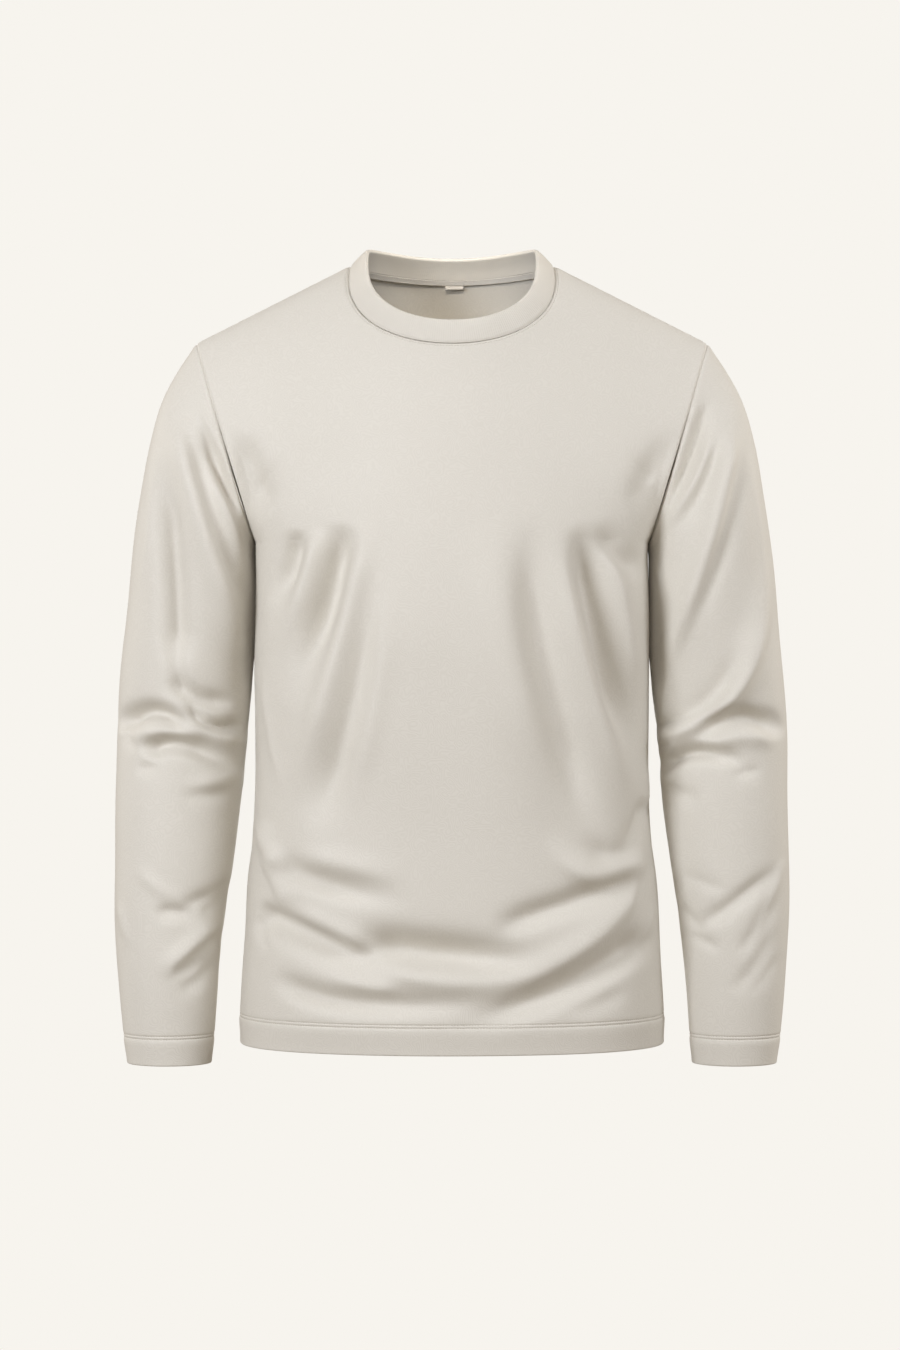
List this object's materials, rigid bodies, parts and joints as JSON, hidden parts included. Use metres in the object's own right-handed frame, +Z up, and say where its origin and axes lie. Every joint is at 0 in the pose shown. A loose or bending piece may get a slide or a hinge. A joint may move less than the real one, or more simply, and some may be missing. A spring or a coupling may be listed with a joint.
{
  "type": "long-sleeve t-shirt",
  "caption": "Plain crew-neck long-sleeve T-shirt in smooth jersey, filled out as worn, with a ribbed neckband, turned-up hem and cuffs and soft drape folds.",
  "frame": {"origin": "midway between the two high shoulder points, where the neck seam crosses the shoulder seams; the wearer's shoulders hold the shirt there", "axes": "+Z up the body, -Y out of the front, +X towards the wearer's left sleeve"},
  "size_m": [0.6046, 0.2391, 0.7302],
  "materials": {
    "jersey": "smooth warm pale grey cotton jersey with a soft sheen",
    "rib": "fine rib knit in the same colour",
    "tape": "woven tape in the same colour, stitched along both edges",
    "label": "blank pale woven label"
  },
  "bodies": {
    "root": {"front": "jersey", "back": "jersey", "sleeve_left": "jersey", "sleeve_right": "jersey", "neckband": "rib", "neck_tape": "tape", "label": "label"}
  },
  "joints": []
}
